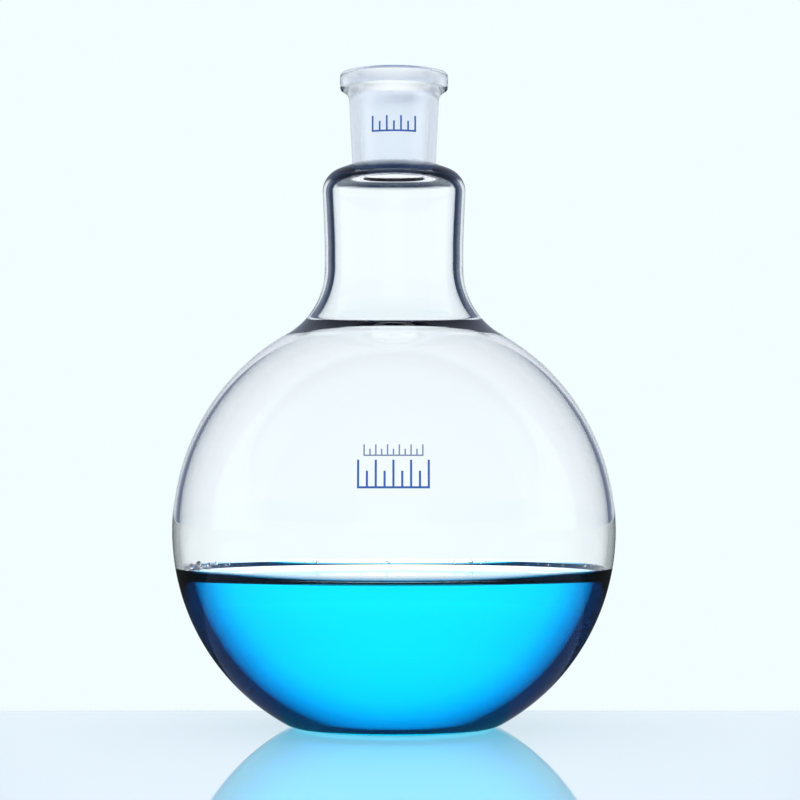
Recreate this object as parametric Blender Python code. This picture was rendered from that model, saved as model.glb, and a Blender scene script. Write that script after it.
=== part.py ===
"""Flat-bottomed boiling flask of 1000 ml with a ground socket, part full of a blue solution.

Lengths are in metres, +Z is up, and the origin is the middle of the flat foot.
The front of the flask, where its marks are printed, faces -Y.
"""

from math import asin, atan2, cos, pi, radians, sin, sqrt, tan

import bmesh
import bpy

# Blown bulb
BULB_DIAMETER = 0.131
BULB_STRETCH = 1.014          # height of the round body's upper half over its radius
BULB_WALL = 0.0020
FOOT_DIAMETER = 0.0557        # the flat that the flask stands on
FOOT_THICKNESS = 0.0022
HEEL_RADIUS = 0.010           # rounding between the foot and the side
FLARE_RADIUS = 0.022          # sweep of the outside from the bulb up into the neck
FLARE_BORE_RADIUS = 0.030     # sweep of the inside, which opens like a bell
BELL_TURN_RADIUS = 0.006      # tighter turn from the bell's mouth into the ball
BELL_SWEEP = radians(35)      # how far the bell's side leans at its mouth
THROAT_LENGTH = 0.0010        # straight glass above the flare, where the neck is fused on

# Neck
NECK_DIAMETER = 0.0412
NECK_WALL = 0.0030
NECK_LENGTH = 0.02091         # from the throat to where the shoulder starts to turn in
SHOULDER_SWELL = 0.0007       # how far the shoulder stands outside the neck
SHOULDER_ROUND = 0.0071
SHOULDER_SLOPE = radians(22)
SHOULDER_BORE_SLOPE = radians(14)   # flatter inside, so that the glass is thick at the socket

# Ground socket
SOCKET_BORE = 0.0215          # inside diameter at the mouth
SOCKET_TAPER = 1 / 10         # on the diameter
SOCKET_LENGTH = 0.0272
SOCKET_WALL = 0.0031
RIM_OVERHANG = 0.00225        # how far the bead stands outside the socket
RIM_HEIGHT = 0.0045           # height of the bead's outer band
RIM_TOP_CHAMFER = 0.0011
RIM_TOP_DROP = 0.0011
MOUTH_CHAMFER = 0.0004
UNDER_RIM = 0.0019            # height of the bead's sloping underside

# Blue solution
SOLUTION_LEVEL = 0.0442       # flat surface above the foot
MENISCUS_RISE = 0.0029
CONTACT_ANGLE = radians(15)   # between the wetted glass and the edge of the meniscus

# Enamel marks
ENAMEL_THICKNESS = 0.0002
CAPACITY_MARK_SIZE = (0.0210, 0.0080)
CAPACITY_MARK_HEIGHT = 0.0745
GRADE_MARK_SIZE = (0.0173, 0.0034)
GRADE_MARK_HEIGHT = 0.0810
SOCKET_MARK_SIZE = (0.0150, 0.0048)
SOCKET_MARK_ABOVE_SEAL = 0.0104

# Clearance between pieces that are fused, printed or poured together
FUSE_GAP = 0.0003

# Fineness of the solids
TURNS = 40
ARC_STEP = radians(9)

# Worked out from the sizes above
BULB_RADIUS = BULB_DIAMETER / 2
NECK_RADIUS = NECK_DIAMETER / 2
SHOULDER_RADIUS = NECK_RADIUS + SHOULDER_SWELL
RIM_RADIUS = SOCKET_BORE / 2 + SOCKET_WALL + RIM_OVERHANG
FOOT_RADIUS = FOOT_DIAMETER / 2
BULB_CENTRE = HEEL_RADIUS + sqrt((BULB_RADIUS - HEEL_RADIUS) ** 2 - FOOT_RADIUS ** 2)
SOCKET_ROOT_BORE = SOCKET_BORE - SOCKET_LENGTH * SOCKET_TAPER
SOCKET_ROOT_RADIUS = SOCKET_ROOT_BORE / 2 + SOCKET_WALL


def arc(centre, radius, start, end):
    """Points of an arc in the (radius, height) half plane, both ends included."""
    steps = max(2, round(abs(end - start) / ARC_STEP))
    points = []
    for step in range(steps + 1):
        angle = start + (end - start) * step / steps
        points.append((centre[0] + radius * cos(angle), centre[1] + radius * sin(angle)))
    return points


def stretched(points):
    """Moves points of the round body from its own centre to their height above the foot."""
    return [(radius, BULB_CENTRE + height * (BULB_STRETCH if height > 0 else 1))
            for radius, height in points]


def heel_centre(ball_radius, floor_height, heel_radius):
    """Centre of the heel's arc, which touches the floor and the ball from inside."""
    height = floor_height + heel_radius
    return sqrt((ball_radius - heel_radius) ** 2 - height ** 2), height


def flare_centre(ball_radius, tube_radius, flare_radius, turn_radius, sweep):
    """Centres of the flare's arc beside the tube and of its turn that touches the ball."""
    step = flare_radius - turn_radius
    radius = tube_radius + flare_radius - step * cos(sweep)
    height = sqrt((ball_radius + turn_radius) ** 2 - radius ** 2)
    return (tube_radius + flare_radius, height + step * sin(sweep)), (radius, height)


def body_outline(ball_radius, tube_radius, floor_height, heel_radius, flare_radius,
                 turn_radius=None, sweep=0.0):
    """Foot, heel, ball and flare of the outer or inner skin, from the foot upwards."""
    turn_radius = turn_radius or flare_radius
    heel = heel_centre(ball_radius, floor_height, heel_radius)
    flare, turn = flare_centre(ball_radius, tube_radius, flare_radius, turn_radius, sweep)
    heel_angle = atan2(heel[1], heel[0])
    turn_angle = atan2(turn[1], turn[0])
    points = arc(heel, heel_radius, -pi / 2, heel_angle)
    points += arc((0, 0), ball_radius, heel_angle, turn_angle)[1:]
    points += arc(turn, turn_radius, turn_angle - pi, sweep - pi)[1:]
    if sweep:
        points += arc(flare, flare_radius, sweep - pi, -pi)[1:]
    return stretched(points)


def outer_body():
    return body_outline(BULB_RADIUS, NECK_RADIUS, -BULB_CENTRE, HEEL_RADIUS, FLARE_RADIUS)


def inner_body():
    return body_outline(BULB_RADIUS - BULB_WALL, NECK_RADIUS - NECK_WALL,
                        FOOT_THICKNESS - BULB_CENTRE, HEEL_RADIUS - BULB_WALL,
                        FLARE_BORE_RADIUS, BELL_TURN_RADIUS, BELL_SWEEP)


THROAT_HEIGHT = max(outer_body()[-1][1], inner_body()[-1][1]) + THROAT_LENGTH
SHOULDER_HEIGHT = THROAT_HEIGHT + NECK_LENGTH
SHOULDER_CORNER = SHOULDER_HEIGHT + SHOULDER_ROUND * tan((pi / 2 - SHOULDER_SLOPE) / 2)
SEAL_HEIGHT = SHOULDER_CORNER + (SHOULDER_RADIUS - SOCKET_ROOT_RADIUS) * tan(SHOULDER_SLOPE)
TOP_HEIGHT = SEAL_HEIGHT + SOCKET_LENGTH


def bulb_radius_at(height, wall=0.0):
    """Radius of the ball's outer skin, or of a skin that lies a wall inside it."""
    lift = height - BULB_CENTRE
    if lift > 0:
        lift /= BULB_STRETCH
    return sqrt((BULB_RADIUS - wall) ** 2 - lift ** 2)


def socket_radius_at(height):
    """Outer radius of the tapered socket below its bead."""
    return SOCKET_ROOT_RADIUS + (height - SEAL_HEIGHT) * SOCKET_TAPER / 2


def principled(name, colour, roughness, alpha=1.0, metallic=0.0):
    material = bpy.data.materials.new(name)
    material.use_nodes = True
    shader = material.node_tree.nodes["Principled BSDF"]
    shader.inputs["Base Color"].default_value = (*colour, 1.0)
    shader.inputs["Roughness"].default_value = roughness
    shader.inputs["Metallic"].default_value = metallic
    shader.inputs["Alpha"].default_value = alpha
    return material


def finished(bm, name, material, parent, height=0.0):
    """Makes a named object of a mesh whose points are given from a height on the axis."""
    bmesh.ops.recalc_face_normals(bm, faces=bm.faces)
    if bm.calc_volume(signed=True) < 0:
        bmesh.ops.reverse_faces(bm, faces=bm.faces)
    bmesh.ops.translate(bm, verts=bm.verts, vec=(0, 0, -height))
    mesh = bpy.data.meshes.new(name)
    bm.to_mesh(mesh)
    bm.free()
    mesh.shade_smooth()
    mesh.set_sharp_from_angle(angle=radians(35))
    mesh.materials.append(material)
    piece = bpy.data.objects.new(name, mesh)
    piece.location.z = height
    piece.parent = parent
    bpy.context.scene.collection.objects.link(piece)
    return piece


def turned(name, outline, material, parent, height=0.0, ring=False):
    """Spins an outline about +Z. A ring is closed on itself, another shape gets flat caps."""
    bm = bmesh.new()
    verts = [bm.verts.new((radius, 0, level)) for radius, level in outline]
    edges = [bm.edges.new(pair) for pair in zip(verts, verts[1:])]
    if ring:
        edges.append(bm.edges.new((verts[-1], verts[0])))
    bmesh.ops.spin(bm, geom=verts + edges, cent=(0, 0, 0), axis=(0, 0, 1), dvec=(0, 0, 0),
                   angle=2 * pi, steps=TURNS, use_merge=True, use_duplicate=False)
    if not ring:
        bmesh.ops.holes_fill(bm, edges=[edge for edge in bm.edges if edge.is_boundary])
    return finished(bm, name, material, parent, height)


def make_bulb(material, parent):
    outer = outer_body() + [(NECK_RADIUS, THROAT_HEIGHT)]
    inner = inner_body() + [(NECK_RADIUS - NECK_WALL, THROAT_HEIGHT)]
    return turned("bulb", outer + inner[::-1], material, parent)


def shoulder_outline(inset):
    """The shoulder's skin, or one inset by the wall: its turn, then its slope to the seal."""
    round_radius = SHOULDER_ROUND - inset
    slope = SHOULDER_BORE_SLOPE if inset else SHOULDER_SLOPE
    centre = (SHOULDER_RADIUS - SHOULDER_ROUND, SHOULDER_HEIGHT)
    points = arc(centre, round_radius, 0, pi / 2 - slope)
    root = SOCKET_ROOT_BORE / 2 if inset else SOCKET_ROOT_RADIUS
    reach = points[-1][0] - root
    points.append((root, points[-1][1] + reach * tan(slope)))
    return points


def make_neck(material, parent):
    bottom = THROAT_HEIGHT + FUSE_GAP
    swell_start = bottom + (SHOULDER_HEIGHT - bottom) * 0.7
    outer = [(NECK_RADIUS, bottom), (NECK_RADIUS, swell_start)] + shoulder_outline(0)
    inner = [(NECK_RADIUS - NECK_WALL, bottom), (NECK_RADIUS - NECK_WALL, swell_start)]
    inner += shoulder_outline(NECK_WALL)
    inner.append((SOCKET_ROOT_BORE / 2, SEAL_HEIGHT))
    return turned("neck", outer + inner[::-1], material, parent, bottom, ring=True)


def make_ground_socket(material, parent):
    bottom = SEAL_HEIGHT + FUSE_GAP
    band_top = TOP_HEIGHT - RIM_TOP_DROP
    band_bottom = band_top - RIM_HEIGHT
    neck_of_bead = band_bottom - UNDER_RIM
    mouth = SOCKET_BORE / 2
    root_bore = mouth - (TOP_HEIGHT - bottom) * SOCKET_TAPER / 2
    outline = [
        (socket_radius_at(bottom), bottom),
        (socket_radius_at(neck_of_bead), neck_of_bead),
        (RIM_RADIUS, band_bottom),
        (RIM_RADIUS, band_top),
        (RIM_RADIUS - RIM_TOP_CHAMFER, TOP_HEIGHT),
        (mouth + MOUTH_CHAMFER, TOP_HEIGHT),
        (mouth - MOUTH_CHAMFER * SOCKET_TAPER / 2, TOP_HEIGHT - MOUTH_CHAMFER),
        (root_bore, bottom),
    ]
    return turned("ground_socket", outline, material, parent, bottom, ring=True)


def make_solution(material, parent):
    """The poured solution: it fills the inner skin, and its edge creeps up the glass."""
    skin = BULB_WALL + FUSE_GAP
    floor = FOOT_THICKNESS + FUSE_GAP
    ball_radius = BULB_RADIUS - skin
    heel_radius = HEEL_RADIUS - skin
    heel = heel_centre(ball_radius, floor - BULB_CENTRE, heel_radius)
    heel_angle = atan2(heel[1], heel[0])
    edge_height = SOLUTION_LEVEL + MENISCUS_RISE
    edge_lift = edge_height - BULB_CENTRE
    if edge_lift > 0:
        edge_lift /= BULB_STRETCH
    edge_angle = asin(edge_lift / ball_radius)
    side = arc(heel, heel_radius, -pi / 2, heel_angle)
    side += arc((0, 0), ball_radius, heel_angle, edge_angle)[1:]
    creep_radius = MENISCUS_RISE / (1 - sin(CONTACT_ANGLE))
    creep_centre = (bulb_radius_at(edge_height, skin) - creep_radius * cos(CONTACT_ANGLE),
                    SOLUTION_LEVEL + creep_radius)
    creep = arc(creep_centre, creep_radius, -CONTACT_ANGLE, -pi / 2)
    return turned("solution", stretched(side) + creep[1:], material, parent, floor)


def ticked_bar(column, row, rows):
    """A bar along the bottom with a tick on every second column, each other one shorter."""
    tall = column % 4 == 0
    return row == 0 or (column % 2 == 0 and (tall or row < rows - 2))


def crenels(column, row, rows):
    """A low bar with a square on every second column."""
    return row == 0 or column % 2 == 0


def cup_and_ticks(column, row, rows):
    """An open cup, like the socket in section, on a bar that carries a few ticks."""
    if column < 6:
        return row == 0 or column in (0, 5)
    return row == 0 or (column % 3 == 2 and row < rows - 1)


def make_mark(name, size, middle, grid, rule, radius_at, material, parent):
    """Enamel printed on the front, bent to the glass: the cells of a grid that a rule keeps."""
    columns, rows = grid
    bm = bmesh.new()
    bmesh.ops.create_grid(bm, x_segments=columns, y_segments=rows, size=0.5)
    blank = []
    for face in bm.faces:
        centre = face.calc_center_median()
        column = int((centre.x + 0.5) * columns)
        row = int((centre.y + 0.5) * rows)
        if not rule(column, row, rows):
            blank.append(face)
    bmesh.ops.delete(bm, geom=blank, context='FACES')
    raised = bmesh.ops.extrude_face_region(bm, geom=bm.faces[:], use_keep_orig=True)
    top = {item for item in raised["geom"] if isinstance(item, bmesh.types.BMVert)}
    for vert in bm.verts:
        height = middle + vert.co.y * size[1]
        radius = radius_at(height) + FUSE_GAP
        angle = vert.co.x * size[0] / radius
        if vert in top:
            radius += ENAMEL_THICKNESS
        vert.co = (radius * sin(angle), -radius * cos(angle), height)
    return finished(bm, name, material, parent, middle)


def main():
    for old in list(bpy.data.objects):
        bpy.data.objects.remove(old)

    glass = principled("clear_glass", (0.93, 0.96, 0.99), 0.03, alpha=0.35)
    ground = principled("ground_glass", (0.84, 0.88, 0.92), 0.6, alpha=0.7)
    blue = principled("blue_solution", (0.0, 0.55, 0.87), 0.05, alpha=0.8)
    enamel = principled("blue_enamel", (0.05, 0.13, 0.40), 0.45)

    flask = bpy.data.objects.new("flask", None)
    bpy.context.scene.collection.objects.link(flask)

    make_bulb(glass, flask)
    make_neck(glass, flask)
    make_ground_socket(ground, flask)
    make_solution(blue, flask)
    make_mark("capacity_mark", CAPACITY_MARK_SIZE, CAPACITY_MARK_HEIGHT, (21, 6),
              ticked_bar, bulb_radius_at, enamel, flask)
    make_mark("grade_mark", GRADE_MARK_SIZE, GRADE_MARK_HEIGHT, (19, 2),
              crenels, bulb_radius_at, enamel, flask)
    make_mark("socket_mark", SOCKET_MARK_SIZE, SEAL_HEIGHT + SOCKET_MARK_ABOVE_SEAL, (15, 4),
              cup_and_ticks, socket_radius_at, enamel, flask)


main()
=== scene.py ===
"""Looks of a 1000 ml flat-bottomed boiling flask, part full of a blue solution.

The script is laid out as a Blender add-on: its property groups hold the sizes and colours that
a user would change, and each piece has an operator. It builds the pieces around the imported
CAD model. Lengths are in metres, +Z is up, and the printed marks face -Y.
"""

from math import asin, atan2, cos, pi, radians, sin, sqrt, tan
from random import Random

import bmesh
import bpy
from bpy.props import FloatProperty, FloatVectorProperty, PointerProperty
from mathutils import Matrix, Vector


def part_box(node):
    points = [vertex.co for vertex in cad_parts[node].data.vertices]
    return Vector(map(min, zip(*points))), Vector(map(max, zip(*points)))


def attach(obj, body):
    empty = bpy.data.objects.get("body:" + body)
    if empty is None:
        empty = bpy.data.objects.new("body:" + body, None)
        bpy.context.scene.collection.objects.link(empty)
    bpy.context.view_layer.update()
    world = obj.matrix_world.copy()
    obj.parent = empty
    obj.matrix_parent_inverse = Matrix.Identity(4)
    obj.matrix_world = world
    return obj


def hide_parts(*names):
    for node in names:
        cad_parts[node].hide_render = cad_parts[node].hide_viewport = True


bl_info = {
    "name": "Boiling Flask",
    "version": (1, 0, 0),
    "blender": (4, 5, 0),
    "location": "View3D > Sidebar > Flask",
    "description": "Builds a flat-bottomed boiling flask of clear glass, part full of a blue "
                   "solution",
    "category": "Add Mesh",
}

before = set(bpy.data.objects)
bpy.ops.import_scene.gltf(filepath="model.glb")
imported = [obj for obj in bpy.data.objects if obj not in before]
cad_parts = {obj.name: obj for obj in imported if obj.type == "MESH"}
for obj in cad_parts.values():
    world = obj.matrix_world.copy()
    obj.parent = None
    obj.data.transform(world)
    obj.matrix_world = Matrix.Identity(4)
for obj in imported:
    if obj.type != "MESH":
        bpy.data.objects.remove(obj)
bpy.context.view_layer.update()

# Heights and widths that the CAD solids settle
NECK_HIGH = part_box("neck")[1]
SOCKET_LOW, SOCKET_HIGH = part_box("ground_socket")
SOLUTION_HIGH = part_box("solution")[1]
CAPACITY_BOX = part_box("capacity_mark")
GRADE_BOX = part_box("grade_mark")
SOCKET_MARK_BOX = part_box("socket_mark")

# Steps of the turned outlines
TURNS = 192
BALL_STEP = radians(1.5)
FLARE_STEP = radians(3)
SHOULDER_STEP = radians(4)
CREEP_STEP = radians(5)
HEEL_STEP = radians(6)
BEAD_STEP = radians(10)
MOUTH_STEP = radians(15)
TUBE_STEPS = 24
SMOOTH_ANGLE = radians(35)

# Small shapes
SEAM = 0.00002                # how far the socket sinks into the neck that it is fused to
WETTING = 0.00005             # how far the solution reaches into the inner skin that it wets
SWELL_START = 0.25            # share of the neck's length below its swell
SWELL_POWER = 1.3
BAND_ROUND = 0.0012           # rounding under the bead's outer band
BAND_TURN = radians(57)       # how far that rounding turns under
HOLLOW_STEPS = 10
HOLLOW_POWER = 2.3            # how closely the bead's hollow underside hugs the socket
MOUTH_ROUND = 0.0006
TICK_PITCH = 4                # strokes from one graduation to the next
TALL_EVERY = 2
SHORT_TICK = 0.62             # height of the shorter graduations over the taller ones
CAPACITY_STROKE = 0.00060
GRADE_STROKE = 0.00040
SOCKET_STROKE = 0.00052

# Bearing from +X in degrees, spread in degrees, count and largest radius of each bubble cluster
BUBBLE_CLUSTERS = ((163, 3.5, 16, 0.0009), (150, 5.0, 6, 0.0006), (113, 3.0, 6, 0.0006),
                   (90, 9.0, 5, 0.0005), (64, 3.2, 10, 0.0007), (42, 6.0, 6, 0.0005),
                   (20, 8.0, 4, 0.0006), (182, 5.0, 3, 0.0005))
BUBBLE_SEED = 11
SMALLEST_BUBBLE = 0.45        # over the largest of its cluster
BUBBLE_LEVELS = (-0.0016, 0.0002)
BUBBLE_GAP = 0.00006          # between a bubble and the glass

# Glass, solution and enamel
GLASS_IOR = 1.474
SOLUTION_IOR = 1.333
BUBBLE_IOR = 1.30
GLASS_MIRROR = (0.30, 0.32, 0.36)
SOLUTION_MIRROR = (0.0, 0.05, 0.10)
GLASS_TINT = (0.62, 0.72, 0.90)
GLASS_DENSITY = 14.0
# Painted shade: near black navy put on the shoulder's turn, standing in for the dark that the
# thick glass bends light away to
SHOULDER_PAINTED_SHADE = (0.0004, 0.0015, 0.008)
SHOULDER_HEIGHTS = (0.1612, 0.1632)     # over which the painted shade sets in up the shoulder
ROOT_RADII = (0.0128, 0.0140)           # over which the painted shade sets in beside the socket's root
SKIN_DEPTH = 0.0006                     # of the solution's surface that counts as on the glass, where its painted shade goes
# Painted shade on the solution's skin: its facing and the colour painted there, from square on
# to aslant, going navy and near black at the limb
SOLUTION_LIMB_PAINTED_SHADE = ((0.030, (1.0, 1.0, 1.0)), (0.120, (0.5, 0.76, 1.0)),
                 (0.158, (0.3, 0.62, 0.92)), (0.181, (0.1, 0.42, 0.74)),
                 (0.209, (0.0, 0.17, 0.45)), (0.232, (0.0, 0.035, 0.15)),
                 (0.241, (0.0, 0.0008, 0.007)), (0.272, (0.0, 0.0004, 0.004)))
REFLECTED_PAINTED_SHADE = 0.6          # strength of that painted shade in a mirror image
GROUND_GRAIN = 5200.0
ENAMEL_GRAIN = 2600.0

# Studio. A panel is given by angles from its middle in degrees, each with the light there.
PALE = (0.885, 0.985, 1.0)
IN_WALL = ((18.5, (0.93, 0.98, 1.0)), (20.0, (0.14, 0.17, 0.23)), (28, (0.055, 0.080, 0.13)),
           (42, (0.008, 0.020, 0.055)))
THROUGH_WALL = ((28, (0.90, 0.97, 1.0)), (50, (0.34, 0.38, 0.45)))
MIRRORED = ((11, PALE), (16, (0.38, 0.43, 0.56)))
OVERHEAD = (0.004, 0.010, 0.030)
OVERHEAD_RISE = (38, 62)      # degrees above the horizon over which it sets in
PANEL_GAIN = 1.05
THROUGH_SOLUTION = (1.6, 1.6, 1.6)
WALL_CROSSINGS = 2            # surfaces crossed by light that stays in one wall
BALL_CROSSINGS = 4            # and by light that goes through the hollow ball
BEHIND_GLASS = (0.92, 1.01, 1.03)
BEHIND_GLASS_BOUNCED = 0.65
STAGE_MIRRORED = 0.03         # strength of the table and floor in a mirror image
FOOT_GAP = 0.0001             # between the foot and the table
TABLE_BACK = 0.050            # the table's far edge behind the flask's axis
TABLE_WIDTH = 1.6
TABLE_DEPTH = 0.90
TABLE_THICKNESS = 0.004
TABLE_TINT = (0.66, 0.71, 0.85)
TABLE_IOR = 1.8
TABLE_ROUGHNESS = 0.03
FLOOR_RADIUS = 12


def length(name, default, description):
    return FloatProperty(name=name, default=default, min=0.0, unit='LENGTH', precision=5,
                         description=description)


def colour(name, default, description):
    return FloatVectorProperty(name=name, default=default, size=3, min=0.0, max=1.0,
                               subtype='COLOR', description=description)


def angle(name, default, description):
    return FloatProperty(name=name, default=default, subtype='ANGLE', description=description)


class FlaskSizes(bpy.types.PropertyGroup):
    bulb_diameter: length("Bulb diameter", 0.131, "Width of the round body")
    bulb_stretch: FloatProperty(name="Bulb stretch", default=1.014, min=0.9, max=1.1,
                                description="Height of the upper half over its radius")
    bulb_wall: length("Bulb wall", 0.0020, "Thickness of the glass in the bulb")
    foot_diameter: length("Foot diameter", 0.0557, "Flat that the flask stands on")
    foot_thickness: length("Foot thickness", 0.0022, "Thickness of the glass in the foot")
    heel_radius: length("Heel radius", 0.010, "Rounding between the foot and the side")
    flare_radius: length("Flare radius", 0.022, "Outer sweep from the bulb into the neck")
    flare_bore_radius: length("Flare bore radius", 0.030, "Inner sweep, open like a bell")
    bell_turn_radius: length("Bell turn radius", 0.006, "Turn from the bell into the ball")
    bell_sweep: angle("Bell sweep", radians(35), "How far the bell's side leans at its mouth")
    neck_diameter: length("Neck diameter", 0.0412, "Outside of the neck")
    neck_wall: length("Neck wall", 0.0030, "Thickness of the glass in the neck")
    shoulder_swell: length("Shoulder swell", 0.0007, "How far the shoulder stands out")
    shoulder_round: length("Shoulder round", 0.0071, "Radius of the shoulder's turn")
    shoulder_slope: angle("Shoulder slope", radians(22),
                          "Slope from the shoulder up to the socket")
    shoulder_bore_slope: angle("Shoulder bore slope", radians(14),
                               "Flatter slope of the shoulder's inside")
    socket_bore: length("Socket bore", 0.0215, "Inside diameter at the mouth")
    socket_taper: FloatProperty(name="Socket taper", default=0.1, min=0.0, max=1.0,
                                description="Change of the bore's diameter over its length")
    socket_wall: length("Socket wall", 0.0031, "Thickness of the glass in the socket")
    rim_diameter: length("Rim diameter", SOCKET_HIGH.x - SOCKET_LOW.x, "Bead at the mouth")
    rim_height: length("Rim height", 0.0045, "Height of the bead's outer band")
    rim_drop: length("Rim drop", 0.0011, "From the flat rim down to the bead's outer band")
    under_rim: length("Under rim", 0.0030, "Height of the bead's hollow underside")


class SolutionLook(bpy.types.PropertyGroup):
    level: length("Level", 0.0442, "Height of the flat surface above the foot")
    contact_angle: angle("Contact angle", radians(15), "Between the wet glass and the meniscus")
    tint: colour("Tint", (0.0, 0.938, 0.9865), "Colour that the solution lets through")
    density: FloatProperty(name="Density", default=75.0, min=0.0,
                           description="How quickly the solution takes up light, per metre")


class EnamelLook(bpy.types.PropertyGroup):
    blue: colour("Blue", (0.022, 0.095, 0.36), "Colour of the capacity and socket marks")
    grey: colour("Grey", (0.17, 0.20, 0.33), "Colour of the paler grade mark")
    thickness: length("Thickness", 0.00008, "Of the fired print")
    lift: length("Lift", 0.00003, "Gap between the print and the glass")


class StageLook(bpy.types.PropertyGroup):
    camera_distance: length("Camera distance", 0.740, "From the camera to the flask's axis")
    camera_height: length("Camera height", 0.0744, "Of the camera above the foot")
    camera_side: length("Camera side step", 0.00178, "Of the camera to the right of the axis")
    camera_tilt: angle("Camera tilt", radians(1.709), "How far the camera looks up")
    lens: FloatProperty(name="Lens", default=112.2, min=10.0, description="In millimetres")


# Outlines, as points in the (radius, height) half plane ---------------------------------------

def arc(centre, radius, start, end, step):
    """Points of an arc, both ends included."""
    count = max(2, round(abs(end - start) / step))
    points = []
    for index in range(count + 1):
        turn = start + (end - start) * index / count
        points.append((centre[0] + radius * cos(turn), centre[1] + radius * sin(turn)))
    return points


def heel_centre(ball_radius, floor_height, heel_radius):
    height = floor_height + heel_radius
    return sqrt((ball_radius - heel_radius) ** 2 - height ** 2), height


def flare_centres(ball_radius, tube_radius, flare_radius, turn_radius, sweep):
    """Centres of the flare's arc beside the tube and of its turn that touches the ball."""
    step = flare_radius - turn_radius
    radius = tube_radius + flare_radius - step * cos(sweep)
    height = sqrt((ball_radius + turn_radius) ** 2 - radius ** 2)
    return (tube_radius + flare_radius, height + step * sin(sweep)), (radius, height)


def bulb_centre(sizes):
    """Height of the widest part above the foot."""
    ball = sizes.bulb_diameter / 2 - sizes.heel_radius
    return sizes.heel_radius + sqrt(ball ** 2 - (sizes.foot_diameter / 2) ** 2)


def stretched(sizes, points):
    """Moves points of the round body from its own centre to their height above the foot."""
    centre = bulb_centre(sizes)
    return [(radius, centre + height * (sizes.bulb_stretch if height > 0 else 1))
            for radius, height in points]


def bulb_radius(sizes, level):
    """Radius of the bulb's outside at a height above the foot."""
    height = level - bulb_centre(sizes)
    if height > 0:
        height /= sizes.bulb_stretch
    return sqrt((sizes.bulb_diameter / 2) ** 2 - height ** 2)


def bore_radius(sizes, level):
    """Radius of the ground bore at a height above the foot."""
    return sizes.socket_bore / 2 - (SOCKET_HIGH.z - level) * sizes.socket_taper / 2


def socket_radius(sizes, level):
    """Radius of the socket's outside at a height above the foot."""
    return bore_radius(sizes, level) + sizes.socket_wall


def body_outline(sizes, ball_radius, tube_radius, floor, heel_radius, flare_radius,
                 turn_radius=None, sweep=0.0):
    """Foot, heel, ball and flare of one skin, from the foot upwards."""
    turn_radius = turn_radius or flare_radius
    heel = heel_centre(ball_radius, floor - bulb_centre(sizes), heel_radius)
    flare, turn = flare_centres(ball_radius, tube_radius, flare_radius, turn_radius, sweep)
    heel_angle = atan2(heel[1], heel[0])
    turn_angle = atan2(turn[1], turn[0])
    points = arc(heel, heel_radius, -pi / 2, heel_angle, HEEL_STEP)
    points += arc((0, 0), ball_radius, heel_angle, turn_angle, BALL_STEP)[1:]
    points += arc(turn, turn_radius, turn_angle - pi, sweep - pi, FLARE_STEP)[1:]
    if sweep:
        points += arc(flare, flare_radius, sweep - pi, -pi, FLARE_STEP)[1:]
    return stretched(sizes, points)


def tube_outline(sizes, radius, start, end):
    """The neck's side between two heights, which widens a little towards the shoulder."""
    points = []
    for index in range(1, TUBE_STEPS):
        share = index / TUBE_STEPS
        swelling = max(0.0, (share - SWELL_START) / (1 - SWELL_START)) ** SWELL_POWER
        points.append((radius + sizes.shoulder_swell * swelling, start + (end - start) * share))
    return points


def shoulder_foot(sizes, seal):
    """Height at which the shoulder starts to turn in, below the seal with the socket."""
    shoulder = sizes.neck_diameter / 2 + sizes.shoulder_swell
    turn = pi / 2 - sizes.shoulder_slope
    corner = seal - (shoulder - socket_radius(sizes, seal)) * tan(sizes.shoulder_slope)
    return corner - sizes.shoulder_round * tan(turn / 2)


def shoulder_outline(sizes, foot, seal, inset):
    """The shoulder's turn and its slope up to the seal, for the outer or the inner skin."""
    shoulder = sizes.neck_diameter / 2 + sizes.shoulder_swell
    slope = sizes.shoulder_bore_slope if inset else sizes.shoulder_slope
    points = arc((shoulder - sizes.shoulder_round, foot), sizes.shoulder_round - inset, 0,
                 pi / 2 - slope, SHOULDER_STEP)
    root = bore_radius(sizes, seal) if inset else socket_radius(sizes, seal)
    rise = (points[-1][0] - root) * tan(slope)
    points.append((root, points[-1][1] + rise))
    return points


# Pieces ---------------------------------------------------------------------------------------

def facing_out(bm):
    bmesh.ops.recalc_face_normals(bm, faces=bm.faces)
    if bm.calc_volume(signed=True) < 0:
        bmesh.ops.reverse_faces(bm, faces=bm.faces)


def turned(outline, ring=False):
    """Spins an outline about +Z. A ring is closed on itself, another shape gets flat caps."""
    bm = bmesh.new()
    verts = [bm.verts.new((radius, 0, level)) for radius, level in outline]
    edges = [bm.edges.new(pair) for pair in zip(verts, verts[1:])]
    if ring:
        edges.append(bm.edges.new((verts[-1], verts[0])))
    bmesh.ops.spin(bm, geom=verts + edges, cent=(0, 0, 0), axis=(0, 0, 1), dvec=(0, 0, 0),
                   angle=2 * pi, steps=TURNS, use_merge=True, use_duplicate=False)
    if not ring:
        bmesh.ops.holes_fill(bm, edges=[edge for edge in bm.edges if edge.is_boundary])
    facing_out(bm)
    return bm


def new_object(bm, name, *materials):
    """An object in the scene with the mesh and the named materials."""
    mesh = bpy.data.meshes.new(name)
    bm.to_mesh(mesh)
    bm.free()
    for material in materials:
        mesh.materials.append(MATERIALS[material])
    piece = bpy.data.objects.new(name, mesh)
    bpy.context.scene.collection.objects.link(piece)
    return piece


def finished(bm, name, materials, replaced):
    """Makes a piece of the object that rides on its body and stands for its CAD nodes."""
    piece = new_object(bm, name, *materials)
    piece.data.shade_smooth()
    piece.data.set_sharp_from_angle(angle=SMOOTH_ANGLE)
    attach(piece, "root")
    piece.visible_shadow = False
    if replaced:
        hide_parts(*replaced)
    return piece


# Nodes ----------------------------------------------------------------------------------------

GROUPS_OF_NODES = {}
MATERIALS = {}


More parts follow.
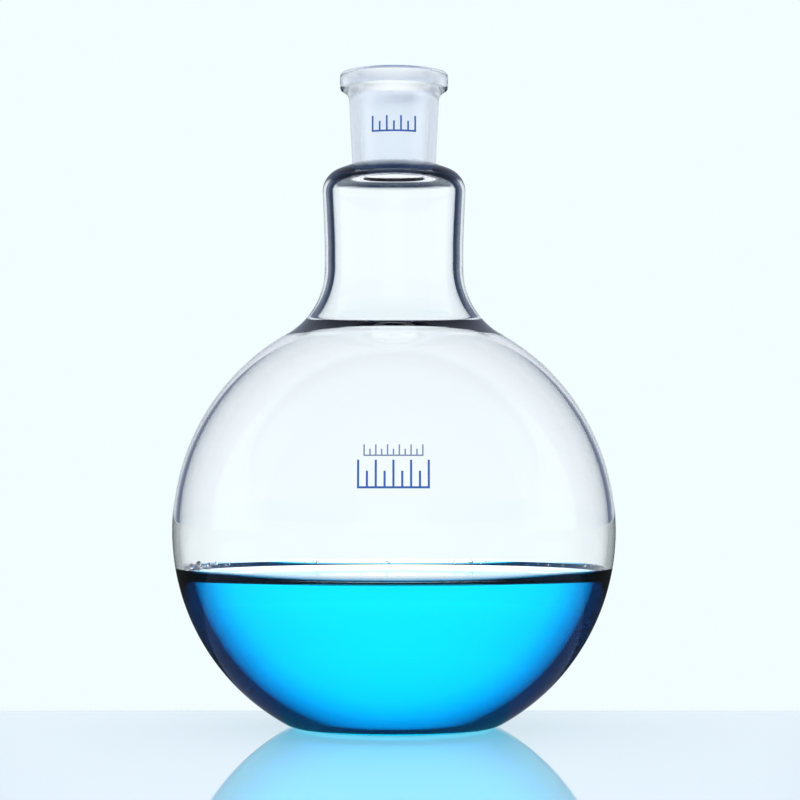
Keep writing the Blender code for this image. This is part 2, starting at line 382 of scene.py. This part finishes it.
def add_node(tree, kind, inputs=None, **settings):
    """A node with its settings, whose inputs are set to values or linked from sockets."""
    node = tree.nodes.new(kind)
    for key, value in settings.items():
        setattr(node, key, value)
    for key, value in (inputs or {}).items():
        if isinstance(value, bpy.types.NodeSocket):
            tree.links.new(value, node.inputs[key])
        else:
            node.inputs[key].default_value = value
    return node


def maths(tree, operation, *values):
    return add_node(tree, "ShaderNodeMath", dict(enumerate(values)),
                    operation=operation).outputs[0]


def multiplied(tree, vector, factors):
    return add_node(tree, "ShaderNodeVectorMath", {0: vector, 1: factors},
                    operation='MULTIPLY').outputs[0]


def scaled(tree, vector, factor):
    return add_node(tree, "ShaderNodeVectorMath", {0: vector, "Scale": factor},
                    operation='SCALE').outputs[0]


def size_of(tree, vector):
    return add_node(tree, "ShaderNodeVectorMath", {0: vector},
                    operation='LENGTH').outputs["Value"]


def ranged(tree, value, results, limits=(0.0, 1.0), interpolation='LINEAR'):
    """A value carried over from its limits to the two results."""
    return add_node(tree, "ShaderNodeMapRange",
                    {"Value": value, "From Min": limits[0], "From Max": limits[1],
                     "To Min": results[0], "To Max": results[1]},
                    interpolation_type=interpolation).outputs[0]


def mixed(tree, share, first, second):
    """Blend of two colours, each a socket or three parts."""
    first, second = (part if isinstance(part, bpy.types.NodeSocket) else (*part, 1.0)
                     for part in (first, second))
    return add_node(tree, "ShaderNodeMix", {0: share, 6: first, 7: second},
                    data_type='RGBA').outputs[2]


def ramped(tree, value, stops):
    """Colour that follows a value through stops in rising order."""
    ramp = add_node(tree, "ShaderNodeValToRGB", {0: value})
    first, last = ramp.color_ramp.elements
    first.position, first.color = stops[0][0], (*stops[0][1], 1.0)
    last.position, last.color = stops[-1][0], (*stops[-1][1], 1.0)
    for position, tint in stops[1:-1]:
        ramp.color_ramp.elements.new(position).color = (*tint, 1.0)
    return ramp.outputs["Color"]


# Materials ------------------------------------------------------------------------------------

def new_material(name):
    material = bpy.data.materials.new(name)
    material.use_nodes = True
    MATERIALS[name] = material
    return material.node_tree, material.node_tree.nodes["Principled BSDF"]


def new_clear_material(name, ior, mirror=(1.0, 1.0, 1.0)):
    """A smooth material that light goes through, whose mirror images may be tinted."""
    tree, shader = new_material(name)
    shader.inputs["Roughness"].default_value = 0.0
    shader.inputs["Specular Tint"].default_value = (*mirror, 1.0)
    shader.inputs["IOR"].default_value = ior
    shader.inputs["Transmission Weight"].default_value = 1.0
    return tree, shader


def bump(tree, shader, height, strength, distance):
    node = add_node(tree, "ShaderNodeBump",
                    {"Strength": strength, "Distance": distance, "Height": height})
    tree.links.new(node.outputs[0], shader.inputs["Normal"])


def absorb(tree, tint, density):
    """Tints light by the depth of the material that it crosses."""
    volume = add_node(tree, "ShaderNodeVolumeAbsorption",
                      {"Color": (*tint, 1.0), "Density": density})
    tree.links.new(volume.outputs["Volume"], tree.nodes["Material Output"].inputs["Volume"])


def new_group(name, inputs, outputs):
    """A shader node group with float inputs, each with a default, and float outputs."""
    tree = bpy.data.node_groups.new(name, "ShaderNodeTree")
    for label, default in inputs:
        tree.interface.new_socket(label, in_out='INPUT',
                                  socket_type='NodeSocketFloat').default_value = default
    for label in outputs:
        tree.interface.new_socket(label, in_out='OUTPUT', socket_type='NodeSocketFloat')
    GROUPS_OF_NODES[name] = tree
    return (tree, tree.nodes.new("NodeGroupInput").outputs,
            tree.nodes.new("NodeGroupOutput").inputs)


def placed_group(tree, name, **values):
    return add_node(tree, "ShaderNodeGroup", values, node_tree=GROUPS_OF_NODES[name]).outputs


def make_fine_grain():
    """Even speckle, as grinding and firing leave on a surface."""
    tree, given, result = new_group("fine_grain", (("Scale", 3000.0), ("Contrast", 1.6)),
                                    ("Mask", "Height"))
    place = add_node(tree, "ShaderNodeTexCoord").outputs["Object"]
    speckle = add_node(tree, "ShaderNodeTexNoise",
                       {"Vector": place, "Scale": given["Scale"], "Detail": 3.0,
                        "Roughness": 0.6}).outputs[0]
    spread = maths(tree, 'SUBTRACT', speckle, 0.5)
    stronger = add_node(tree, "ShaderNodeMath", {0: spread, 1: given["Contrast"], 2: 0.5},
                        operation='MULTIPLY_ADD', use_clamp=True)
    tree.links.new(stronger.outputs[0], result["Mask"])
    tree.links.new(speckle, result["Height"])


def make_drawn_streaks():
    """Shallow waves along the tube and round the ball, as a blower's drawn glass has."""
    tree, given, result = new_group("drawn_streaks", (("Across", 60.0), ("Along", 9.0)),
                                    ("Height",))
    place = add_node(tree, "ShaderNodeTexCoord").outputs["Object"]
    density = add_node(tree, "ShaderNodeCombineXYZ",
                       {"X": given["Across"], "Y": given["Across"], "Z": given["Along"]})
    waves = add_node(tree, "ShaderNodeTexNoise",
                     {"Vector": multiplied(tree, place, density.outputs[0]), "Scale": 1.0,
                      "Detail": 1.0, "Roughness": 0.4})
    tree.links.new(waves.outputs[0], result["Height"])


def make_clear_glass():
    """Clear glass, with painted shade at the shoulder's turn, where the real glass is thick and
    bends light away.
    """
    tree, shader = new_clear_material("clear_glass", GLASS_IOR, GLASS_MIRROR)
    place = add_node(tree, "ShaderNodeTexCoord").outputs["Object"]
    level = add_node(tree, "ShaderNodeSeparateXYZ", {0: place}).outputs["Z"]
    reach = size_of(tree, multiplied(tree, place, (1.0, 1.0, 0.0)))
    # Painted shade: the base colour goes near black navy over the shoulder's turn, away from
    # the socket's root and below the seal
    turn = ranged(tree, level, (0.0, 1.0), SHOULDER_HEIGHTS, 'SMOOTHSTEP')
    clear_of_root = ranged(tree, reach, (0.0, 1.0), ROOT_RADII, 'SMOOTHSTEP')
    below_seal = maths(tree, 'LESS_THAN', level, NECK_HIGH.z)
    painted_shade_mask = maths(tree, 'MULTIPLY', maths(tree, 'MULTIPLY', turn, clear_of_root), below_seal)
    tree.links.new(mixed(tree, painted_shade_mask, (1.0, 1.0, 1.0), SHOULDER_PAINTED_SHADE),
                   shader.inputs["Base Color"])
    streaks = placed_group(tree, "drawn_streaks")
    bump(tree, shader, streaks["Height"], strength=0.5, distance=0.00006)
    absorb(tree, GLASS_TINT, GLASS_DENSITY)


def make_ground_glass():
    """Ground bore with a painted glow, which stands in for light gathered where it is seen
    aslant through the clear outside.
    """
    tree, shader = new_clear_material("ground_glass", GLASS_IOR)
    shader.inputs["Base Color"].default_value = (0.98, 0.99, 1.0, 1.0)
    grain = placed_group(tree, "fine_grain", Scale=GROUND_GRAIN)
    tree.links.new(ranged(tree, grain["Mask"], (0.34, 0.52)), shader.inputs["Roughness"])
    bump(tree, shader, grain["Height"], strength=0.35, distance=0.00004)
    # Painted light: the bore glows by its facing, more strongly where it is seen aslant
    slant = add_node(tree, "ShaderNodeLayerWeight", {"Blend": 0.5}).outputs["Facing"]
    shader.inputs["Emission Color"].default_value = (0.86, 0.92, 1.0, 1.0)
    painted_glow = ranged(tree, slant, (0.03, 0.25), limits=(0.17, 0.36),
                      interpolation='SMOOTHSTEP')
    tree.links.new(painted_glow, shader.inputs["Emission Strength"])
    absorb(tree, GLASS_TINT, GLASS_DENSITY)


def make_blue_solution(sizes, look):
    """Clear blue liquid, with painted shade that makes it navy where it curves away under the
    glass.
    """
    tree, shader = new_clear_material("blue_solution", SOLUTION_IOR, SOLUTION_MIRROR)
    slant = add_node(tree, "ShaderNodeLayerWeight", {"Blend": 0.5}).outputs["Facing"]
    place = add_node(tree, "ShaderNodeTexCoord").outputs["Object"]
    from_centre = add_node(tree, "ShaderNodeMapping",
                           {"Vector": place, "Location": (0.0, 0.0, -bulb_centre(sizes))})
    inner_skin = sizes.bulb_diameter / 2 - sizes.bulb_wall
    on_glass = maths(tree, 'GREATER_THAN', size_of(tree, from_centre.outputs[0]),
                     inner_skin - SKIN_DEPTH)
    # Painted shade: on the glass, the base colour follows the skin's facing from white to navy
    # and near black at the limb, weaker in mirror images
    bounces = add_node(tree, "ShaderNodeLightPath").outputs["Glossy Depth"]
    share = maths(tree, 'MULTIPLY', on_glass, ranged(tree, bounces, (1.0, REFLECTED_PAINTED_SHADE)))
    tree.links.new(mixed(tree, share, (1.0, 1.0, 1.0), ramped(tree, slant, SOLUTION_LIMB_PAINTED_SHADE)),
                   shader.inputs["Base Color"])
    absorb(tree, look.tint, look.density)


def make_bubble_film():
    """Thin film of a bubble, a weak lens with a painted dark limb."""
    tree, shader = new_clear_material("bubble_film", BUBBLE_IOR)
    slant = add_node(tree, "ShaderNodeLayerWeight", {"Blend": 0.5}).outputs["Facing"]
    # Painted shade: the base colour darkens towards the bubble's limb by its facing
    painted_limb_shade = ranged(tree, slant, (0.0, 1.0), limits=(0.35, 0.8))
    tree.links.new(mixed(tree, painted_limb_shade, (0.96, 0.98, 1.0), (0.10, 0.13, 0.22)),
                   shader.inputs["Base Color"])


def make_enamel(name, ink):
    """Fired enamel with a faint grain, a little paler where the ink is thin."""
    tree, shader = new_material(name)
    grain = placed_group(tree, "fine_grain", Scale=ENAMEL_GRAIN)
    paler = [min(1.0, part * 1.5 + 0.02) for part in ink]
    tree.links.new(mixed(tree, grain["Mask"], ink, paler), shader.inputs["Base Color"])
    tree.links.new(ranged(tree, grain["Mask"], (0.38, 0.56)), shader.inputs["Roughness"])
    bump(tree, shader, grain["Height"], strength=0.25, distance=0.00003)


def make_stage_surface(name, base, roughness, ior, glow):
    """Stage finish that glass mirrors only dimly, so that it doesn't veil what is inside."""
    tree, shader = new_material(name)
    shader.inputs["Roughness"].default_value = roughness
    shader.inputs["IOR"].default_value = ior
    shader.inputs["Specular IOR Level"].default_value = 0.5 if ior > 1 else 0.0
    path = add_node(tree, "ShaderNodeLightPath").outputs
    mirrored = maths(tree, 'SUBTRACT', path["Is Glossy Ray"], path["Is Transmission Ray"])
    lit = ranged(tree, mirrored, (1.0, STAGE_MIRRORED))
    tree.links.new(scaled(tree, base, lit), shader.inputs["Base Color"])
    in_solution = maths(tree, 'GREATER_THAN', path["Transmission Depth"], BALL_CROSSINGS + 0.5)
    bounced = ranged(tree, path["Glossy Depth"], (1.0, BEHIND_GLASS_BOUNCED))
    behind_glass = mixed(tree, path["Is Transmission Ray"], PALE,
                         scaled(tree, BEHIND_GLASS, bounced))
    tree.links.new(mixed(tree, in_solution, behind_glass, THROUGH_SOLUTION),
                   shader.inputs["Emission Color"])
    tree.links.new(maths(tree, 'MULTIPLY', lit, glow), shader.inputs["Emission Strength"])


def make_world():
    """Soft studio surround: pale to the eye, with darker stretches that give glass its edges.

    Its four lit panels stand square to the flask, so it looks alike from the front and a side.
    """
    world = bpy.data.worlds.new("studio")
    world.use_nodes = True
    bpy.context.scene.world = world
    tree = world.node_tree
    path = add_node(tree, "ShaderNodeLightPath").outputs
    direction = add_node(tree, "ShaderNodeTexCoord").outputs["Generated"]
    axes = add_node(tree, "ShaderNodeSeparateXYZ", {0: direction}).outputs
    square = maths(tree, 'MAXIMUM', maths(tree, 'ABSOLUTE', axes["X"]),
                   maths(tree, 'ABSOLUTE', axes["Y"]))
    bearing = maths(tree, 'DIVIDE', square,
                    size_of(tree, multiplied(tree, direction, (1.0, 1.0, 0.0))))

    def panels(cosine, angles):
        """Light of four panels, by the cosine of the angle from the nearest one's middle."""
        return ramped(tree, cosine, [(cos(radians(degrees)), light)
                                     for degrees, light in reversed(angles)])

    def deeper_than(crossings):
        return maths(tree, 'GREATER_THAN', path["Transmission Depth"], crossings + 0.5)

    overhead = ranged(tree, axes["Z"], (0.0, 1.0),
                      [sin(radians(degrees)) for degrees in OVERHEAD_RISE], 'SMOOTHSTEP')
    in_wall = mixed(tree, overhead, scaled(tree, panels(bearing, IN_WALL), PANEL_GAIN),
                    OVERHEAD)
    through_wall = scaled(tree, panels(bearing, THROUGH_WALL), PANEL_GAIN)
    seen_in_glass = mixed(tree, deeper_than(BALL_CROSSINGS),
                          mixed(tree, deeper_than(WALL_CROSSINGS), in_wall, through_wall),
                          THROUGH_SOLUTION)
    plain = mixed(tree, path["Is Glossy Ray"], PALE, panels(square, MIRRORED))
    tree.links.new(mixed(tree, path["Is Transmission Ray"], plain, seen_in_glass),
                   tree.nodes["Background"].inputs["Color"])


# Operators ------------------------------------------------------------------------------------

class FLASK_OT_glass_body(bpy.types.Operator):
    """Blown bulb, flare, neck and shoulder, as one clear glass"""
    bl_idname = "flask.glass_body"
    bl_label = "Glass Body"

    def execute(self, context):
        sizes = context.scene.flask_sizes
        ball = sizes.bulb_diameter / 2
        tube = sizes.neck_diameter / 2
        seal = NECK_HIGH.z
        shoulder = shoulder_foot(sizes, seal)
        outer = body_outline(sizes, ball, tube, 0.0, sizes.heel_radius, sizes.flare_radius)
        outer += tube_outline(sizes, tube, outer[-1][1], shoulder)
        outer += shoulder_outline(sizes, shoulder, seal, 0.0)
        inner = body_outline(sizes, ball - sizes.bulb_wall, tube - sizes.neck_wall,
                             sizes.foot_thickness, sizes.heel_radius - sizes.bulb_wall,
                             sizes.flare_bore_radius, sizes.bell_turn_radius,
                             sizes.bell_sweep)
        inner += tube_outline(sizes, tube - sizes.neck_wall, inner[-1][1], shoulder)
        inner += shoulder_outline(sizes, shoulder, seal, sizes.neck_wall)
        inner.append((inner[-1][0], seal))
        finished(turned(outer + inner[::-1]), "flask_body", ["clear_glass"],
                 ("bulb", "neck"))
        return {'FINISHED'}


class FLASK_OT_ground_socket(bpy.types.Operator):
    """Tapered socket with a ground bore and a bead round its mouth"""
    bl_idname = "flask.ground_socket"
    bl_label = "Ground Socket"

    def execute(self, context):
        sizes = context.scene.flask_sizes
        bottom = NECK_HIGH.z - SEAM
        top = SOCKET_HIGH.z
        mouth = sizes.socket_bore / 2
        rim = sizes.rim_diameter / 2
        band_top = top - sizes.rim_drop
        band_bottom = band_top - sizes.rim_height
        under = band_bottom - sizes.under_rim
        neck = socket_radius(sizes, under)
        band = (rim - BAND_ROUND, band_bottom + BAND_ROUND)
        hollow = (band[0] + BAND_ROUND * cos(BAND_TURN) - neck,
                  band[1] - BAND_ROUND * sin(BAND_TURN) - under)
        outline = [(socket_radius(sizes, bottom), bottom)]
        for step in range(HOLLOW_STEPS):
            share = step / HOLLOW_STEPS
            outline.append((neck + hollow[0] * share ** HOLLOW_POWER,
                            under + hollow[1] * share))
        outline += arc(band, BAND_ROUND, -BAND_TURN, 0, BEAD_STEP)
        outline += arc((rim - sizes.rim_drop, band_top), sizes.rim_drop, 0, pi / 2, BEAD_STEP)
        outline += arc((mouth + MOUTH_ROUND, top - MOUTH_ROUND), MOUTH_ROUND, pi / 2, pi,
                       MOUTH_STEP)
        outline.append((bore_radius(sizes, bottom), bottom))
        bm = turned(outline, ring=True)
        for face in bm.faces:
            middle = face.calc_center_median()
            radius = sqrt(middle.x ** 2 + middle.y ** 2)
            if radius < mouth and bottom < middle.z < top - MOUTH_ROUND:
                face.material_index = 1
        finished(bm, "ground_socket_glass", ["clear_glass", "ground_glass"],
                 ("ground_socket",))
        return {'FINISHED'}


class FLASK_OT_solution(bpy.types.Operator):
    """Blue solution that wets the inner skin, with its meniscus"""
    bl_idname = "flask.solution"
    bl_label = "Solution"

    def execute(self, context):
        sizes = context.scene.flask_sizes
        look = context.scene.flask_solution
        skin = sizes.bulb_wall - WETTING
        floor = sizes.foot_thickness - WETTING
        ball = sizes.bulb_diameter / 2 - skin
        heel_radius = sizes.heel_radius - skin
        centre = bulb_centre(sizes)
        heel = heel_centre(ball, floor - centre, heel_radius)
        heel_angle = atan2(heel[1], heel[0])
        edge = SOLUTION_HIGH.z
        edge_angle = asin((edge - centre) / ball)
        side = arc(heel, heel_radius, -pi / 2, heel_angle, HEEL_STEP)
        side += arc((0, 0), ball, heel_angle, edge_angle, BALL_STEP)[1:]
        creep_radius = (edge - look.level) / (1 - sin(look.contact_angle))
        creep_centre = (ball * cos(edge_angle) - creep_radius * cos(look.contact_angle),
                        look.level + creep_radius)
        creep = arc(creep_centre, creep_radius, -look.contact_angle, -pi / 2, CREEP_STEP)
        finished(turned(stretched(sizes, side) + creep[1:]), "blue_solution",
                 ["blue_solution"], ("solution",))
        return {'FINISHED'}


class FLASK_OT_bubbles(bpy.types.Operator):
    """Small air bubbles that cling to the glass along the solution's edge"""
    bl_idname = "flask.bubbles"
    bl_label = "Bubbles"

    def execute(self, context):
        sizes = context.scene.flask_sizes
        centre = bulb_centre(sizes)
        ball = sizes.bulb_diameter / 2 - sizes.bulb_wall
        dice = Random(BUBBLE_SEED)
        bm = bmesh.new()
        for bearing, spread, count, largest in BUBBLE_CLUSTERS:
            for _ in range(count):
                turn = radians(bearing + dice.gauss(0, spread))
                radius = dice.uniform(SMALLEST_BUBBLE, 1.0) * largest
                level = SOLUTION_HIGH.z + dice.uniform(*BUBBLE_LEVELS)
                reach = sqrt(ball ** 2 - (level - centre) ** 2) - radius - BUBBLE_GAP
                bmesh.ops.create_icosphere(
                    bm, subdivisions=3, radius=radius,
                    matrix=Matrix.Translation((reach * cos(turn), reach * sin(turn), level)))
        finished(bm, "edge_bubbles", ["bubble_film"], ())
        return {'FINISHED'}


def scale_print(low, high, stroke):
    """A flat row of graduations on a base line that fills a box, in the XZ plane.

    The print is cut from a grid of square cells, each a stroke wide."""
    columns = int((high.x - low.x) / stroke) // TICK_PITCH * TICK_PITCH + 1
    rows = int((high.z - low.z) / stroke)
    bm = bmesh.new()
    bmesh.ops.create_grid(bm, x_segments=columns, y_segments=rows, size=0.5)
    spare = []
    for face in bm.faces:
        middle = face.calc_center_median()
        tick, beside = divmod(int((middle.x + 0.5) * columns), TICK_PITCH)
        row = int((middle.y + 0.5) * rows)
        top = rows if tick % TALL_EVERY == 0 else round(rows * SHORT_TICK)
        if row > 0 and (beside or row >= top):
            spare.append(face)
    bmesh.ops.delete(bm, geom=spare, context='FACES')
    bmesh.ops.scale(bm, vec=(columns * stroke, rows * stroke, 1), verts=bm.verts)
    bmesh.ops.rotate(bm, matrix=Matrix.Rotation(pi / 2, 3, 'X'), verts=bm.verts)
    bmesh.ops.translate(bm, vec=((low.x + high.x) / 2, 0, (low.z + high.z) / 2),
                        verts=bm.verts)
    return bm


def printed_on(bm, sizes, skin, look):
    """Gives a flat print its thickness and lays it on a skin, whose radius follows height."""
    result = bmesh.ops.extrude_face_region(bm, geom=bm.faces[:])
    front = {item for item in result["geom"] if isinstance(item, bmesh.types.BMVert)}
    for vert in bm.verts:
        radius = skin(sizes, vert.co.z) + look.lift
        if vert in front:
            radius += look.thickness
        vert.co.y = -sqrt(radius ** 2 - vert.co.x ** 2)
    facing_out(bm)


class FLASK_OT_marks(bpy.types.Operator):
    """Blue and grey enamel graduations printed on the front"""
    bl_idname = "flask.marks"
    bl_label = "Enamel Marks"

    def execute(self, context):
        for name, box, stroke, skin, ink in (
                ("capacity_print", CAPACITY_BOX, CAPACITY_STROKE, bulb_radius, "blue_enamel"),
                ("grade_print", GRADE_BOX, GRADE_STROKE, bulb_radius, "grey_enamel"),
                ("socket_print", SOCKET_MARK_BOX, SOCKET_STROKE, socket_radius,
                 "blue_enamel")):
            bm = scale_print(*box, stroke)
            printed_on(bm, context.scene.flask_sizes, skin, context.scene.flask_enamel)
            finished(bm, name, [ink], (name.replace("print", "mark"),))
        return {'FINISHED'}


class FLASK_OT_stage(bpy.types.Operator):
    """Pale floor, soft light and the camera"""
    bl_idname = "flask.stage"
    bl_label = "Stage"

    def execute(self, context):
        look = context.scene.flask_stage
        scene = context.scene
        scene.view_settings.view_transform = 'Standard'
        make_world()

        bm = bmesh.new()
        bmesh.ops.create_cube(bm, size=1.0)
        bmesh.ops.scale(bm, vec=(TABLE_WIDTH, TABLE_DEPTH, TABLE_THICKNESS), verts=bm.verts)
        bmesh.ops.translate(bm, vec=(0, TABLE_BACK - TABLE_DEPTH / 2,
                                     -FOOT_GAP - TABLE_THICKNESS / 2), verts=bm.verts)
        new_object(bm, "table", "pale_table")

        bm = bmesh.new()
        bmesh.ops.create_circle(bm, cap_ends=True, segments=96, radius=FLOOR_RADIUS)
        bmesh.ops.translate(bm, vec=(0, 0, -FOOT_GAP - TABLE_THICKNESS), verts=bm.verts)
        new_object(bm, "floor", "pale_floor")

        light = bpy.data.lights.new("softbox", 'AREA')
        light.shape = 'SQUARE'
        light.size = 1.2
        light.energy = 6.0
        lamp = bpy.data.objects.new("softbox", light)
        lamp.location = (-0.3, -0.3, 1.5)
        lamp.rotation_euler = (radians(-11), radians(-11), 0)
        lamp.visible_glossy = False
        lamp.visible_transmission = False
        scene.collection.objects.link(lamp)

        camera = bpy.data.cameras.new("camera")
        camera.lens = look.lens
        camera.sensor_width = 36.0
        camera.clip_start = 0.01
        eye = bpy.data.objects.new("camera", camera)
        eye.location = (look.camera_side, -look.camera_distance, look.camera_height)
        eye.rotation_euler = (pi / 2 + look.camera_tilt, 0, 0)
        scene.collection.objects.link(eye)
        scene.camera = eye
        return {'FINISHED'}


class FLASK_PT_panel(bpy.types.Panel):
    """Lists the flask's pieces"""
    bl_idname = "FLASK_PT_panel"
    bl_label = "Boiling Flask"
    bl_space_type = 'VIEW_3D'
    bl_region_type = 'UI'
    bl_category = "Flask"

    def draw(self, context):
        for operator in OPERATORS:
            self.layout.operator(operator.bl_idname)


OPERATORS = (FLASK_OT_glass_body, FLASK_OT_ground_socket, FLASK_OT_solution,
             FLASK_OT_bubbles, FLASK_OT_marks, FLASK_OT_stage)
GROUPS = (FlaskSizes, SolutionLook, EnamelLook, StageLook)


def register():
    for cls in GROUPS + OPERATORS + (FLASK_PT_panel,):
        bpy.utils.register_class(cls)
    bpy.types.Scene.flask_sizes = PointerProperty(type=FlaskSizes)
    bpy.types.Scene.flask_solution = PointerProperty(type=SolutionLook)
    bpy.types.Scene.flask_enamel = PointerProperty(type=EnamelLook)
    bpy.types.Scene.flask_stage = PointerProperty(type=StageLook)


def unregister():
    del bpy.types.Scene.flask_stage
    del bpy.types.Scene.flask_enamel
    del bpy.types.Scene.flask_solution
    del bpy.types.Scene.flask_sizes
    for cls in reversed(GROUPS + OPERATORS + (FLASK_PT_panel,)):
        bpy.utils.unregister_class(cls)


def make_materials(scene):
    make_fine_grain()
    make_drawn_streaks()
    make_clear_glass()
    make_ground_glass()
    make_blue_solution(scene.flask_sizes, scene.flask_solution)
    make_enamel("blue_enamel", scene.flask_enamel.blue)
    make_enamel("grey_enamel", scene.flask_enamel.grey)
    make_bubble_film()
    make_stage_surface("pale_table", TABLE_TINT, TABLE_ROUGHNESS, TABLE_IOR, 0.0)
    make_stage_surface("pale_floor", (0.0, 0.0, 0.0), 1.0, 1.0, 1.0)


def main():
    register()
    make_materials(bpy.context.scene)
    bpy.ops.flask.glass_body()
    bpy.ops.flask.ground_socket()
    bpy.ops.flask.solution()
    bpy.ops.flask.bubbles()
    bpy.ops.flask.marks()
    bpy.ops.flask.stage()


if __name__ == "__main__":
    main()
